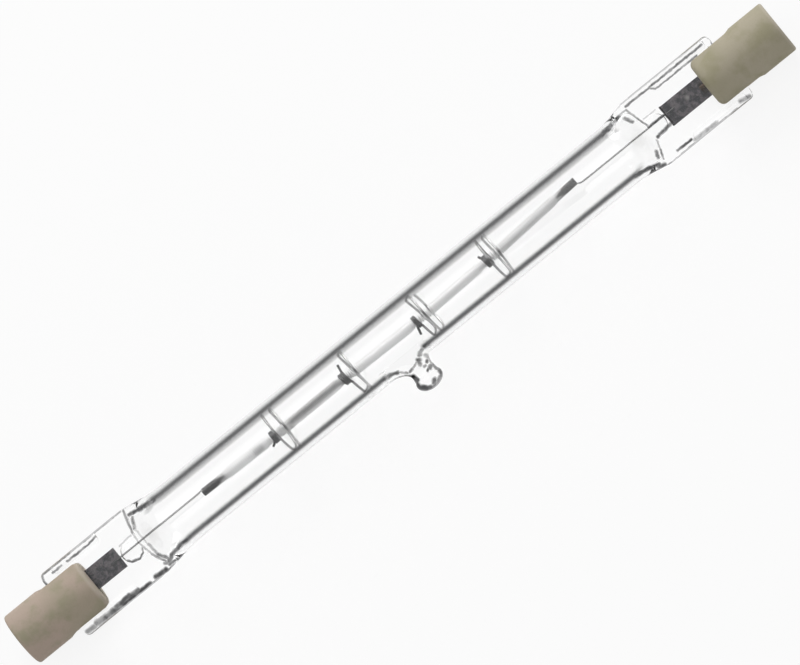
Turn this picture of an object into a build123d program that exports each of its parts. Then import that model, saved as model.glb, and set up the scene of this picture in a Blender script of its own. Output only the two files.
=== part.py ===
from build123d import *
import math
import os

os.makedirs("parts", exist_ok=True)

# A double-ended linear halogen lamp, in millimetres.
# It is laid out about its own axis: X runs along the tube from the left end to the right end,
# the exhaust tip points to -Y, and the flat pinches lie in the XY plane.
# The finished lamp is turned about X into the pose in which it lies on a table.

# Whole lamp
overall_length = 117.6
contact_inset = 1.7

# Quartz tube
tube_diameter = 8.0
tube_wall = 0.93
shoulder_inset = 24.8

# Flat pinches at the ends of the tube
plate_width = 9.5
plate_thickness = 2.3
plate_corner_radius = 0.7
left_plate_inset = 6.5
right_plate_inset = 7.4
left_shoulder_length = 6.5
right_shoulder_length = 5.3
plate_root_share = 0.30
plate_full_share = 0.80
plate_root_slope = 0.12
bore_swell = 0.45
bore_end_gap = 0.6
pocket_width = 2.8
pocket_length = 2.7
pocket_height = 0.7

# Thick ribs along both edges of a pinch
rib_start_gap = 3.2
rib_cap_reach = 3.1
rib_foot_width = 1.2
rib_top_width = 0.65
rib_height = 0.35
rib_end_bevel = 0.3

# Exhaust tip
tip_place = -0.5
tip_reach = 7.73
tip_bulb_diameter = 3.36
tip_neck_diameter = 3.0
tip_root_fillet = 0.9
tip_funnel_reach = 4.3
tip_funnel_width = 2.0

# Sealing foils
foil_width = 2.87
foil_thickness = 0.04
foil_feather = 0.4
foil_length = 8.0
left_foil_inset = 15.7
right_foil_inset = 17.3
left_foil_shift = 0.33
right_foil_shift = 0.0

# Outer leads
lead_diameter = 0.7
lead_weld_length = 2.7

# Ceramic caps
cap_diameter = 7.1
cap_length = 11.3
cap_rim_bevel = 0.3
cap_mouth_radius = 0.8
cap_mouth_steps = 2
slot_height = 2.6
slot_straight_length = 5.1
recess_diameter = 3.9
recess_bevel = 0.25

# Contacts in the cap ends
contact_diameter = 3.4
contact_thickness = 0.8
contact_stem_diameter = 1.4
contact_stem_length = 1.6
contact_hole_depth = 1.9
contact_hole_clearance = 0.02
stem_clearance = 0.05
seat_clearance = 0.03

# Cement between a cap and its pinch
cement_setback = 0.4
cement_edge_setback = 0.2

# Filament: one wire, wound into a coil with a straight leg at each end
wire_width = 0.2
coil_diameter = 1.0
left_coil_inset = 28.4
right_coil_inset = 30.75
close_wound_length = 2.9
close_turns = 6.5
open_pitch = 1.5
end_share_of_turn = 0.375
leg_height = 0.3
leg_weld_length = 1.4
leg_hole_clearance = 0.01
end_pin_length = 2.6
end_pin_clearance = 0.03

# How far the coil's middle lies off the lamp's axis: at its left end, in each support and at its right end.
coil_offsets = [0.04, -0.2, -0.28, -0.18, 0.15, 0.84]

# Wire supports between the coil and the wall of the tube
first_support_gap = 12.1
last_support_gap = 13.05
support_shifts = [0.0, 0.2, 0.1, 0.0]
support_wire = 0.25
support_turns = 1.75
support_ring_width = 1.3
support_ring_lean = 0.25
support_wall_clearance = 0.04
grip_offset = 1.3
grip_turns = 2.5
grip_pitch = 0.32
grip_clearance = 0.05
grip_tail = 0.5

# Facets of the wires and of the holes round them
coil_steps = 6
ring_steps = 14
grip_steps = 6
wire_sides = 4
leg_hole_sides = 8
end_pin_sides = 8

# Sizes worked out from the ones above
half_length = overall_length / 2
round_half_length = half_length - shoulder_inset
left_plate_end = half_length - left_plate_inset
right_plate_end = half_length - right_plate_inset
left_foil_start = half_length - left_foil_inset
right_foil_start = half_length - right_foil_inset
coil_left = left_coil_inset - half_length
coil_right = half_length - right_coil_inset
tube_radius = tube_diameter / 2
bore_radius = tube_radius - tube_wall
plate_half_width = plate_width / 2
plate_half_thickness = plate_thickness / 2
cap_radius = cap_diameter / 2
cap_start = half_length - cap_length
rib_end = cap_start + rib_cap_reach
contact_face = half_length - contact_inset
recess_floor = contact_face - contact_thickness
slot_end = cap_start + slot_straight_length + slot_height / 2
foil_top = foil_thickness / 2
leg_lift = foil_top + wire_width / 2
tip_bulb_radius = tip_bulb_diameter / 2
tip_bulb_centre = tip_reach - tip_bulb_radius
supported_length = coil_right - coil_left - first_support_gap - last_support_gap
support_pitch = supported_length / (len(support_shifts) - 1)
support_places = [
    coil_left + first_support_gap + number * support_pitch + shift
    for number, shift in enumerate(support_shifts)
]
coil_holds = [coil_left] + [place - grip_offset for place in support_places] + [coil_right]

# The lamp lies on the tube and on the bulb of its tip, which sets how far it is rolled over.
resting_roll = math.degrees(math.asin((tube_radius - tip_bulb_radius) / tip_bulb_centre))


def across(x):
    """The plane across the lamp at x, with its own X along the width of the pinches."""
    return Plane(origin=(x, 0, 0), x_dir=(0, 1, 0), z_dir=(1, 0, 0))


def ellipse_at(x, half_width, half_height):
    """An ellipse across the lamp at x. A circle has equal halves."""
    if half_width == half_height:
        return across(x) * Circle(half_width)
    return across(x) * Ellipse(half_width, half_height)


def along(start, end, radius):
    """A round bar on the lamp's axis from start to end."""
    return extrude(across(start) * Circle(radius), amount=end - start)


def turned(profile):
    """A solid of revolution about X from a closed outline of (x, radius) points and edges."""
    return revolve(make_face(profile), axis=Axis.X, revolution_arc=360)


def bent_wire(points, width, sides):
    """A wire with a straight-sided section that follows the points, mitred at each of them."""
    path = Polyline(*points)
    plane = Plane(origin=points[0], z_dir=path.tangent_at(0))
    return sweep(plane * RegularPolygon(width / 2, sides), path=path, transition=Transition.RIGHT)


# Quartz envelope
def shoulder_form(shoulder_length):
    """The outside of the glass where the round tube closes down on to the plate."""
    widening = plate_half_width - tube_radius
    # Each row: how far along the shoulder, how much of the widening, and the share of the tube's half height.
    steps = [
        (0.35, 0.25, 0.98), (0.62, 0.70, 0.88), (0.80, 0.96, 0.66), (0.92, 0.90, 0.40), (1.00, 0.00, 0.12),
    ]
    faces = [ellipse_at(round_half_length, tube_radius, tube_radius)]
    for share, wide, high in steps:
        x = round_half_length + share * shoulder_length
        faces.append(ellipse_at(x, tube_radius + wide * widening, tube_radius * high))
    return loft(faces, ruled=True)


def plate_form(shoulder_length, plate_end):
    """The flat plate: it grows out of the sides of the shoulder, and its outer corners are round."""
    root = round_half_length + plate_root_share * shoulder_length
    full = round_half_length + plate_full_share * shoulder_length
    width = plate_half_width
    end = plate_end - plate_corner_radius
    edge = Spline((root, tube_radius), (full, width), tangents=((1, plate_root_slope), (1, 0)))
    corner = RadiusArc((plate_end, width - plate_corner_radius), (end, width), -plate_corner_radius)
    half = edge + Line((full, width), (end, width)) + corner
    half += Line((root, tube_radius), (root, 0)) + Line((root, 0), (plate_end, 0))
    half += Line((plate_end, 0), (plate_end, width - plate_corner_radius))
    outline = make_face(half)
    outline += mirror(outline, Plane.XZ)
    return extrude(outline, amount=plate_half_thickness, both=True)


def plate_ribs(rib_start):
    """Thick ribs along both edges of the plate, standing out of both its faces."""
    foot = plate_half_width - rib_foot_width
    top = plate_half_width - rib_top_width
    edge = plate_half_width - rib_end_bevel / 2
    low = plate_half_thickness
    high = plate_half_thickness + rib_height
    outline = [
        (foot, low - rib_height / 2), (top, high), (edge, high), (plate_half_width, low),
        (plate_half_width, -low), (edge, -high), (top, -high), (foot, rib_height / 2 - low),
    ]
    ribs = []
    for side in (1, -1):
        points = [(rib_start, side * y, z) for y, z in outline]
        rib = extrude(make_face(Polyline(*points, close=True)), amount=rib_end - rib_start, dir=(1, 0, 0))
        ends = rib.faces().filter_by(Axis.X).edges().group_by(Axis.Z)
        ribs.append(chamfer(ends[0] + ends[-1], rib_end_bevel))
    return ribs


def bore_form(shoulder_length):
    """The right-hand end of the gas space: round bore, closing shoulder and the pocket round the leg."""
    reach = shoulder_length - bore_end_gap
    end = round_half_length + reach
    # Each row: how far along, how much of the swelling, the shares of the half width and the half height.
    steps = [
        (0.40, 0.30, 1.00, 0.96), (0.72, 0.95, 1.00, 0.74),
        (0.90, 1.00, 0.88, 0.38), (1.00, 1.00, 0.34, 0.06),
    ]
    faces = [ellipse_at(round_half_length, bore_radius, bore_radius)]
    for share, swell, wide, high in steps:
        half_width = (bore_radius + swell * bore_swell) * wide
        faces.append(ellipse_at(round_half_length + share * reach, half_width, bore_radius * high))
    radius = pocket_width / 2
    tongue_end = end + pocket_length - radius
    outline = Pos((end + tongue_end) / 2 - radius, 0) * SlotCenterToCenter(
        tongue_end - end + 2 * radius, pocket_width
    )
    tongue = extrude(outline, amount=pocket_height / 2, both=True)
    return loft(faces, ruled=True) + tongue


def glass_end(shoulder_length, plate_end):
    """The right-hand end of the envelope, from where the tube stops being round."""
    outside = shoulder_form(shoulder_length) + plate_form(shoulder_length, plate_end)
    outside += plate_ribs(round_half_length + shoulder_length + rib_start_gap)
    return outside - bore_form(shoulder_length)


def exhaust_tip():
    """The sealed-off exhaust tube: a neck and a round bulb, standing on the side of the tube."""
    neck = tip_neck_diameter / 2
    neck_end = tip_bulb_centre - math.sqrt(tip_bulb_radius**2 - neck**2)
    plane = Plane(origin=(tip_place, 0, 0), x_dir=(1, 0, 0), z_dir=(0, -1, 0))
    stem = extrude(plane * Circle(neck), amount=neck_end)
    return stem + Pos(tip_place, -tip_bulb_centre, 0) * Sphere(tip_bulb_radius)


def tip_funnel():
    """The closing funnel that the bore has at the root of the tip."""
    depth = tip_funnel_reach - bore_radius
    mouth = tip_funnel_width / 2 * (depth + tube_wall) / depth
    cone = Cone(mouth, 0, depth + tube_wall)
    middle = tip_funnel_reach - (depth + tube_wall) / 2
    return Pos(tip_place, -middle, 0) * Rot(X=90) * cone


def quartz_envelope():
    tube = along(-round_half_length, round_half_length, tube_radius) + exhaust_tip()
    root = [
        edge for edge in tube.edges()
        if abs(edge.center().X - tip_place) < tip_neck_diameter and edge.bounding_box().max.Y < -bore_radius
    ]
    seam = max(root, key=lambda edge: edge.bounding_box().max.Y)
    tube = fillet(seam, tip_root_fillet)
    tube -= along(-round_half_length, round_half_length, bore_radius) + tip_funnel()
    right = glass_end(right_shoulder_length, right_plate_end)
    left = mirror(glass_end(left_shoulder_length, left_plate_end), Plane.YZ)
    return tube + right + left


# Sealing foils and outer leads
def sealing_foil(start, shift):
    """A foil with feathered edges in the right-hand plate, shifted sideways from the plate's middle."""
    half = foil_width / 2
    flat = half - foil_feather
    upper = [(-half, 0), (-flat, foil_top), (flat, foil_top)]
    lower = [(half, 0), (flat, -foil_top), (-flat, -foil_top)]
    outline = [(start, shift + y, z) for y, z in upper + lower]
    return extrude(make_face(Polyline(*outline, close=True)), amount=foil_length, dir=(1, 0, 0))


def outer_lead(foil_start):
    """The right-hand lead: its inner end is ground half away and welded flat on the foil."""
    radius = lead_diameter / 2
    foil_end = foil_start + foil_length
    start = foil_end - lead_weld_length
    end = contact_face - contact_thickness - contact_stem_length + contact_hole_depth
    ground = Box(lead_weld_length, lead_diameter, lead_diameter, align=(Align.MIN, Align.CENTER, Align.MAX))
    return along(start, end, radius) - Pos(start, 0, foil_top) * ground


# Ceramic caps, their contacts and the cement
def slot_form(width):
    """The room of the slot: flat sides and a half-round bottom, open towards the middle of the lamp."""
    radius = slot_height / 2
    straight = Pos(cap_start, 0, 0) * Box(
        slot_straight_length, width, slot_height, align=(Align.MIN, Align.CENTER, Align.CENTER)
    )
    bottom = Pos(cap_start + slot_straight_length, 0, 0) * Rot(X=90) * Cylinder(radius, width)
    return straight + bottom


def ceramic_cap():
    """The right-hand cap: a round bar, slotted over the plate and bored for the contact."""
    rim = cap_radius - cap_rim_bevel
    outline = [(half_length, 0), (half_length, rim), (half_length - cap_rim_bevel, cap_radius)]
    for step in range(cap_mouth_steps + 1):
        angle = math.pi / 2 * step / cap_mouth_steps
        x = cap_start + cap_mouth_radius * (1 - math.sin(angle))
        outline.append((x, cap_radius - cap_mouth_radius * (1 - math.cos(angle))))
    outline.append((cap_start, 0))
    body = turned(Polyline(*outline, close=True))
    body -= slot_form(cap_diameter + 1)
    body -= along(slot_end - slot_height / 2, half_length, contact_stem_diameter / 2 + stem_clearance)
    body -= along(recess_floor, half_length, contact_diameter / 2 + seat_clearance)
    body -= along(contact_face, half_length, recess_diameter / 2)
    mouth_edge = body.faces().sort_by(Axis.X)[-1].edges().sort_by(SortBy.RADIUS)[0]
    return chamfer(mouth_edge, recess_bevel)


def contact_button():
    """The right-hand contact: a turned rivet, with its head on the floor of the recess."""
    head = contact_diameter / 2
    stem = contact_stem_diameter / 2
    hole = lead_diameter / 2 + contact_hole_clearance
    stem_end = recess_floor - contact_stem_length
    outline = Polyline(
        (stem_end, hole), (stem_end, stem), (recess_floor, stem), (recess_floor, head),
        (contact_face, head), (contact_face, 0), (stem_end + contact_hole_depth, 0),
        (stem_end + contact_hole_depth, hole),
        close=True,
    )
    return turned(outline)


def cement(plate, lead):
    """The cement between the right-hand cap, the plate and the lead."""
    core = along(cap_start + cement_setback, slot_end, cap_radius - cement_edge_setback)
    return (slot_form(cap_diameter) & core) - plate - lead


# Filament
def coil_middle(x):
    """How far the coil's middle lies off the lamp's axis at x, straight between the places that hold it."""
    runs = list(zip(coil_holds, coil_offsets))
    for (x0, y0), (x1, y1) in zip(runs, runs[1:]):
        if x <= x1 or x1 == coil_right:
            return y0 + (y1 - y0) * (x - x0) / (x1 - x0)


def coil_points():
    """The middle of the coiled wire: close turns at both ends, and open ones between them."""
    radius = (coil_diameter - wire_width) / 2
    close_pitch = close_wound_length / close_turns
    open_length = coil_right - coil_left - 2 * close_wound_length
    open_turns = round(open_length / open_pitch) + end_share_of_turn
    all_turns = 2 * close_turns + open_turns
    points = []
    steps = round(all_turns * coil_steps)
    for step in range(steps + 1):
        turns = all_turns * step / steps
        if turns < close_turns:
            x = coil_left + turns * close_pitch
        elif turns < close_turns + open_turns:
            x = coil_left + close_wound_length + (turns - close_turns) * open_length / open_turns
        else:
            x = coil_right - (all_turns - turns) * close_pitch
        angle = math.pi / 4 + 2 * math.pi * turns
        points.append((x, coil_middle(x) + radius * math.cos(angle), radius * math.sin(angle)))
    return points


def left_leg():
    """The straight end of the wire, from its weld on the left foil to just short of the coil."""
    weld_end = -left_foil_start - leg_weld_length
    return [(weld_end, leg_height, leg_lift), (coil_left - coil_diameter, leg_height, leg_lift)]


def right_leg():
    """The other straight end, from just past the coil to its weld on the right foil."""
    weld_end = right_foil_start + leg_weld_length
    return [(coil_right + coil_diameter, leg_height, leg_lift), (weld_end, leg_height, leg_lift)]


def filament():
    return bent_wire(left_leg() + coil_points() + right_leg(), wire_width, wire_sides)


def end_pin(start, end):
    """The short rod that fills the close-wound end of the coil."""
    coil_radius = (coil_diameter - wire_width) / 2 * math.cos(math.pi / coil_steps)
    radius = coil_radius - wire_width / 2 - end_pin_clearance
    first = Vector(start, coil_middle(start), 0)
    last = Vector(end, coil_middle(end), 0)
    plane = Plane(origin=first, z_dir=last - first)
    return extrude(plane * RegularPolygon(radius, end_pin_sides), amount=(last - first).length)


def coil_support(place):
    """A ring that touches the wall of the tube, an arm to the coil, and a few turns that grip it."""
    ring_radius = bore_radius - support_wall_clearance - support_wire / 2
    grip_inside = coil_diameter / 2 + grip_clearance
    grip_radius = (grip_inside + support_wire / 2) / math.cos(math.pi / grip_steps)
    grip_end = place - grip_offset - grip_turns * grip_pitch / 2
    grip_start = grip_end + grip_turns * grip_pitch
    points = []
    ring_count = round(support_turns * ring_steps)
    for step in range(ring_count + 1):
        angle = 2 * math.pi * step / ring_steps
        x = place + support_ring_width * (0.5 - step / ring_count) - support_ring_lean * math.cos(angle)
        points.append((x, ring_radius * math.cos(angle), ring_radius * math.sin(angle)))
    turned_so_far = 2 * math.pi * ring_count / ring_steps
    grip_count = round(grip_turns * grip_steps)
    for step in range(grip_count + 1):
        angle = turned_so_far + math.pi / 2 + 2 * math.pi * step / grip_steps
        x = grip_start - grip_pitch * step / grip_steps
        y = coil_middle(x) + grip_radius * math.cos(angle)
        points.append((x, y, grip_radius * math.sin(angle)))
    tail = Vector(points[-1]) + (Vector(points[-1]) - Vector(points[-2])).normalized() * grip_tail
    points[-1] = tuple(tail)
    return bent_wire(points, support_wire, wire_sides)


# The lamp put together, each piece still about the lamp's own axis
def mirrored(solid):
    return mirror(solid, Plane.YZ)


glass = quartz_envelope()
pieces = {
    "foil_right": sealing_foil(right_foil_start, right_foil_shift),
    "foil_left": mirrored(sealing_foil(left_foil_start, left_foil_shift)),
    "outer_lead_right": outer_lead(right_foil_start),
    "outer_lead_left": mirrored(outer_lead(left_foil_start)),
}
cap = ceramic_cap()
pieces["cement_right"] = cement(glass, pieces["outer_lead_right"])
pieces["cement_left"] = mirrored(cement(mirrored(glass), mirrored(pieces["outer_lead_left"])))
pieces["ceramic_cap_right"] = cap
pieces["ceramic_cap_left"] = mirrored(cap)
pieces["contact_right"] = contact_button()
pieces["contact_left"] = mirrored(contact_button())
pieces["filament"] = filament()
pieces["filament_end_pin_left"] = end_pin(coil_left, coil_left + end_pin_length)
pieces["filament_end_pin_right"] = end_pin(coil_right - end_pin_length, coil_right)
for number, place in enumerate(support_places, start=1):
    pieces[f"coil_support_{number}"] = coil_support(place)

# The glass closes round what it is pinched on to.
for name in ("foil_right", "foil_left", "outer_lead_right", "outer_lead_left"):
    glass -= pieces[name]
for leg in (left_leg(), right_leg()):
    glass -= bent_wire(leg, wire_width + 2 * leg_hole_clearance, leg_hole_sides)
pieces["quartz_envelope"] = glass

for name, solid in pieces.items():
    export_step(Rot(X=resting_roll) * solid, f"parts/{name}.step")
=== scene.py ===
import bmesh
import bpy
from math import asin, atan2, copysign, cos, hypot, pi, radians, sin, sqrt, tau
from mathutils import Matrix, Vector
from mathutils.kdtree import KDTree


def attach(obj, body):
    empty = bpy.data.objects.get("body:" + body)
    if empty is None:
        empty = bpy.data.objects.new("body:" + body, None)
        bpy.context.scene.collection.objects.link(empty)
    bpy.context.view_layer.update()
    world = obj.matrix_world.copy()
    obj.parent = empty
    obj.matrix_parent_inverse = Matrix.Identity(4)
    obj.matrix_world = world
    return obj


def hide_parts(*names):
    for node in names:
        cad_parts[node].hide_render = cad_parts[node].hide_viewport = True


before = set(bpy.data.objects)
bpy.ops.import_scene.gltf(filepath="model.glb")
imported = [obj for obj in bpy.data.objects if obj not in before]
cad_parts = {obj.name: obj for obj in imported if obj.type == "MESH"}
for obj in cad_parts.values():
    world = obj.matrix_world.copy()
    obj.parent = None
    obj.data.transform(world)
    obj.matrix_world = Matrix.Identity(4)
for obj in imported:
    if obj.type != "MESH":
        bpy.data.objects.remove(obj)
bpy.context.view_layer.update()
print("frame loaded")

# The pieces are shaped about the lamp's own axis in millimetres: X along the tube, the tip towards -Y,
# the flat pinches in the XY plane. settle() then rolls each one over to rest on the tip, in metres.
lamp = {
    "halfLength": 58.8,
    "tubeRadius": 4.0,
    "boreRadius": 3.07,
    "roundEnd": 34.0,  # where the tube stops being round
    "plateHalfWidth": 4.75,
    "webHalfThickness": 1.15,
    "plateEnds": {-1: 52.3, 1: 51.4},
    "foilStarts": {-1: 43.1, 1: 41.5},
    "shoulderEnds": {-1: 40.15, 1: 38.95},
    "boreEnds": {-1: 40.0, 1: 38.8},
    "tipPlace": -0.5,
    "restingRoll": radians(22.548),  # the lamp lies on tube and tip
    "unit": 0.001,
}
restingRoll = lamp["restingRoll"]
lampUp = (0.0, -sin(restingRoll), cos(restingRoll))  # square to the flat pinches, up


def deselectAll():
    if bpy.context.object and bpy.context.object.mode != "OBJECT":
        bpy.ops.object.mode_set(mode="OBJECT")
    bpy.ops.object.select_all(action="DESELECT")


def pick(piece):
    deselectAll()
    piece.select_set(True)
    bpy.context.view_layer.objects.active = piece


def newPiece(data):
    piece = bpy.data.objects.new(data.name, data)
    bpy.context.scene.collection.objects.link(piece)
    return piece


def settle(piece, name, node, finish, smoothAngle=None):  # rolled, in metres, riding on the lamp
    pick(piece)
    piece.name = name
    piece.data.name = name
    piece.rotation_euler = (restingRoll, 0, 0)
    piece.scale = (lamp["unit"],) * 3
    bpy.ops.object.transform_apply()
    if smoothAngle is None:
        bpy.ops.object.shade_smooth()
    else:
        bpy.ops.object.shade_smooth_by_angle(angle=radians(smoothAngle))
    for material in finish:
        piece.data.materials.append(material)
    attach(piece, "root")
    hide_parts(node)
    deselectAll()


# Shader maths on sockets
class Socket:
    def __init__(self, tree, link=None):
        self.tree = tree
        self.link = link

    def node(self, kind, sockets=None, out=0, stops=(), **settings):
        made = self.tree.nodes.new("ShaderNode" + kind)
        for number, (place, value) in enumerate(stops):
            if number > 1:  # a ramp starts with two
                made.color_ramp.elements.new(place)
            made.color_ramp.elements[number].position = place
            made.color_ramp.elements[number].color = (value, value, value, 1)
        for key, value in settings.items():
            setattr(made, key, value)
        for key, value in (sockets or {}).items():
            if isinstance(value, Socket):
                self.tree.links.new(value.link, made.inputs[key])
            else:
                made.inputs[key].default_value = value
        return Socket(self.tree, made.outputs[out] if made.outputs else None)

    def math(self, operation, first, second=0.0):
        return self.node("Math", {0: first, 1: second}, operation=operation)

    def __add__(self, other):
        return self.math("ADD", self, other)

    def __radd__(self, other):
        return self.math("ADD", other, self)

    def __sub__(self, other):
        return self.math("SUBTRACT", self, other)

    def __rsub__(self, other):
        return self.math("SUBTRACT", other, self)

    def __mul__(self, other):
        return self.math("MULTIPLY", self, other)

    def __rmul__(self, other):
        return self.math("MULTIPLY", other, self)

    def vector(self, operation, first, second=(0, 0, 0), out=0):
        return self.node("VectorMath", {0: first, 1: second}, out, operation=operation)

    def parts(self):  # the three numbers of a place
        split = self.node("SeparateXYZ", {0: self}).link.node
        return [Socket(self.tree, split.outputs[axis]) for axis in "XYZ"]

    def step(self, low, high, first=0.0, last=1.0):  # first up to low, last from high on
        sockets = {0: self, 1: low, 2: high, 3: first, 4: last}
        return self.node("MapRange", sockets, interpolation_type="SMOOTHSTEP")

    def blend(self, first, second):  # self is the share of the second colour
        return self.node("Mix", {0: self, 6: first, 7: second}, 2, data_type="RGBA")


def newMaterial(name):
    material = bpy.data.materials.new(name)
    material.use_nodes = True
    material.node_tree.nodes.clear()
    return material, Socket(material.node_tree)


def surface(root, shader):
    root.node("OutputMaterial", {"Surface": shader})


def rgb(red, green, blue):  # as seen, 0 to 255
    return tuple(((c / 255 + 0.055) / 1.055) ** 2.4 for c in (red, green, blue)) + (1,)


def noise(root, scale, detail=4.0, vector=None):
    vector = vector or root.node("TexCoord", out=3)
    return root.node("TexNoise", {"Vector": vector, "Scale": scale, "Detail": detail, "Roughness": 0.55})


def bump(root, height, strength, distance):
    return root.node("Bump", {"Strength": strength, "Distance": distance, "Height": height})


# Clear quartz looks dark where it bends the table's light away: on the tube's flanks, round the tip,
# along the plates' edges and ribs, and where tube and bore close down.
# That darkness is painted shade: a near-black glass mixed in by how far a surface is turned away, and by the
# painted strokes below.
glass = {
    "ior": 1.458,
    "clear": (0.985, 0.985, 0.985, 1),
    "dark": (0.0016, 0.0016, 0.0018, 1),
    "shadow": (0.88, 0.88, 0.88, 1),
    "seen": (1.25, 0.62, 2.2, 1.04),  # the most that counts, its share of the light as seen, gamma, trim
    "nearFlank": [  # how dark by how far it is turned away, on the tip's side
        (0.195, 0.0), (0.225, 0.05), (0.251, 0.17), (0.279, 0.46), (0.309, 0.84), (0.341, 1.1),
        (0.385, 1.08), (0.43, 0.7), (0.475, 0.28), (0.52, 0.08), (0.6, 0.02), (0.72, 0.05),
        (0.8, 0.08), (0.95, 0.0),
    ],
    "farFlank": [  # and on the far side
        (0.185, 0.0), (0.202, 0.08), (0.225, 0.24), (0.251, 0.38), (0.279, 0.46), (0.309, 0.6), (0.341, 0.8),
        (0.377, 1.04), (0.43, 1.08), (0.47, 0.86), (0.511, 0.58), (0.569, 0.3), (0.639, 0.13), (0.73, 0.06),
        (0.9, 0.0),
    ],
    "flankChange": (-0.5, 0.5),  # across the tube, from the one to the other
    "leastAcross": 0.02,
    "upperSide": (0.1, 0.35),  # how far a surface has to face up to carry strokes
    "plateSide": (0.3, 0.6),  # and on the plates
    "blotch": (1.1, 0.36, 0.6),  # how many to the millimetre, and from where to where they show
    "waver": 0.3,  # how far the strokes wander
    "waverScale": 1.6,
    "strokeFade": (0.25, 1.35),  # shares of the half width
    "uneven": (0.8, 0.36),  # the least, and what a blotch adds
    "plateEdge": (0.5, 0.62, 0.9, 0.97),
    "edgeShare": 0.5,
    "edgeWide": (4.3, 4.5),
    "cornerFrom": (-4.8, -3.8),  # from the shoulder's line: strokes replace the flank
    "flankGone": (-1.5, -0.7),
    "edgeFrom": (0.1, 0.6),
    "plateFrom": (0.0, 0.5),
    "flankWide": (2.7, 3.1),
    "tipRim": (0.26, 0.4),
    "rimUneven": (0.45, 0.4),
    "rootAlong": (-4.6, -3.9, 1.1, 1.7),  # where the flank gives way to the tip's root
    "bulbTop": (-5.6, -5.0),
    "straightAlong": (-5.1, -3.9, 1.7, 2.3),  # light goes straight through the root and funnel
    "straightAcross": (-5.5, -5.0, -2.4, -1.7),
    "leavingAlong": (-11.2, -9.6),  # and leaves straight beside them
    "leavingAcross": (-3.4, -2.9),
    "tipGlass": (-11.5, 3.0, -2.3),  # from x, to x, below y
}

# Painted shade: soft dark strokes where the pressed glass bends the table's light away: x, y, then half
# width, how dark and the next x, y
leftShadeStrokes = [
    (-35.3, 3.16, 0.4, 1, -36.2, 3.22, 0.36, 1.05, -37.6, 3.38, 0.26, 1, -39, 3.62),
    (-35.3, -3.1, 0.32, 1.1, -36.4, -3.12, 0.28, 1.1, -37.9, -3.36, 0.3, 1, -38.7, -3.8),
    (-51.7, 4.62, 0.19, 0.85, -47.5, 4.6, 0.18, 0.55, -39.6, 4.62),
    (-51.7, 4.62, 0.16, 0.75, -52.15, 3.9, 0.19, 0.85, -52.1, 3.4), (-50.6, 4, 0.15, 0.65, -49.2, 4),
    (-48.3, 3.95, 0.15, 0.8, -45, 3.92, 0.15, 0.8, -43.8, 4.1), (-50.3, -4.1, 0.4, 0.8, -48.4, -4.28),
    (-48.9, -4.2, 0.42, 0.95, -46.2, -4.32), (-47.2, -4.05, 0.3, 1.1, -45, -3.95),
    (-45.4, -4, 0.32, 1.1, -43.9, -4.12), (-46.2, -4.42, 0.3, 1.1, -42.2, -4.42),
    (-50.2, -4.6, 0.14, 0.8, -42.3, -4.58), (-41.2, -4.25, 0.34, 1.1, -39.7, -4.35),
    (-42, -4.58, 0.14, 0.75, -38.5, -4.5), (-38.9, -4.1, 0.28, 0.95, -37.9, -4.2),
    (-51.8, -4.15, 0.35, 0.6, -50.3, -4.25), (-39.3, -3.7, 0.25, 0.65, -38.4, -4.15),
    (-42.6, -0.6, 0.14, 0.7, -42.25, -1.05, 0.16, 0.95, -41.3, -1.28, 0.14, 0.75, -40.5, -1, 0.14, 0.5,
     -40.25, -0.5), (-42.3, 1.4, 0.14, 0.25, -40.4, 1.55), (-39.1, 4.68, 0.2, 0.35, -35.5, 4.15),
    (-39.2, 4.5, 0.17, 0.6, -40.05, 1.7, 0.13, 0.32, -40.2, 0.3, 0.13, 0.4, -39.8, -1.8, 0.16, 0.62,
     -39, -3.55), (-38.85, 3.1, 0.24, 0.62, -39.5, 1.95, 0.13, 0.3, -39.38, -0.5),
    (-39.35, -0.6, 0.2, 0.5, -39.25, -2.3, 0.25, 0.75, -38.55, -3.45),
]
rightShadeStrokes = [
    (34.1, 3.18, 0.38, 1, 35, 3.26, 0.34, 1.05, 36, 3.42, 0.24, 1.05, 37.15, 3.62),
    (34.1, -3.17, 0.32, 1.1, 35.1, -3.26, 0.28, 1.1, 36.2, -3.52, 0.26, 1.1, 37.3, -3.92),
    (34.3, -3.98, 0.12, 0.3, 36.9, -4.3), (38.5, 4.06, 0.17, 0.8, 50.25, 4.04),
    (38, 4.65, 0.14, 0.35, 51.35, 4.6), (42.2, 3.85, 0.15, 0.75, 42.6, 3.42, 0.14, 0.7, 49, 3.42),
    (51.3, 4.5, 0.16, 0.7, 51.4, 4.35), (51.35, 3.5, 0.15, 0.6, 51.2, 2.95),
    (38, -4.66, 0.15, 0.62, 48.8, -4.6), (40, -4, 0.18, 1, 42.15, -4),
    (42.5, -4.3, 0.32, 0.5, 45.8, -4.35), (49.6, -4.1, 0.3, 0.6, 50.8, -4.4),
    (37.1, -4.2, 0.34, 1.1, 37.75, -4.35), (39.2, -1.2, 0.24, 0.9, 41.6, -0.95),
    (39.1, 0.42, 0.15, 0.9, 41.4, 0.38), (39.2, 1.5, 0.12, 0.22, 41, 1.5),
    (37.9, 4.62, 0.2, 0.35, 34.5, 4.15), (37.8, -4.5, 0.16, 0.35, 35.5, -4.15),
    (37.3, 3.72, 0.14, 0.45, 38.3, 3.68, 0.14, 0.55, 38.8, 1.55, 0.14, 0.62, 39.15, 0.5),
    (38.9, -1.5, 0.13, 0.4, 38.5, -2.6, 0.14, 0.6, 38.1, -3.7), (37.55, 3.05, 0.24, 0.7, 38, 2.05),
    (37.98, -2.45, 0.24, 0.8, 37.7, -3.2), (41.6, -1.3, 0.14, 0.7, 41.6, 1.35),
]
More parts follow.
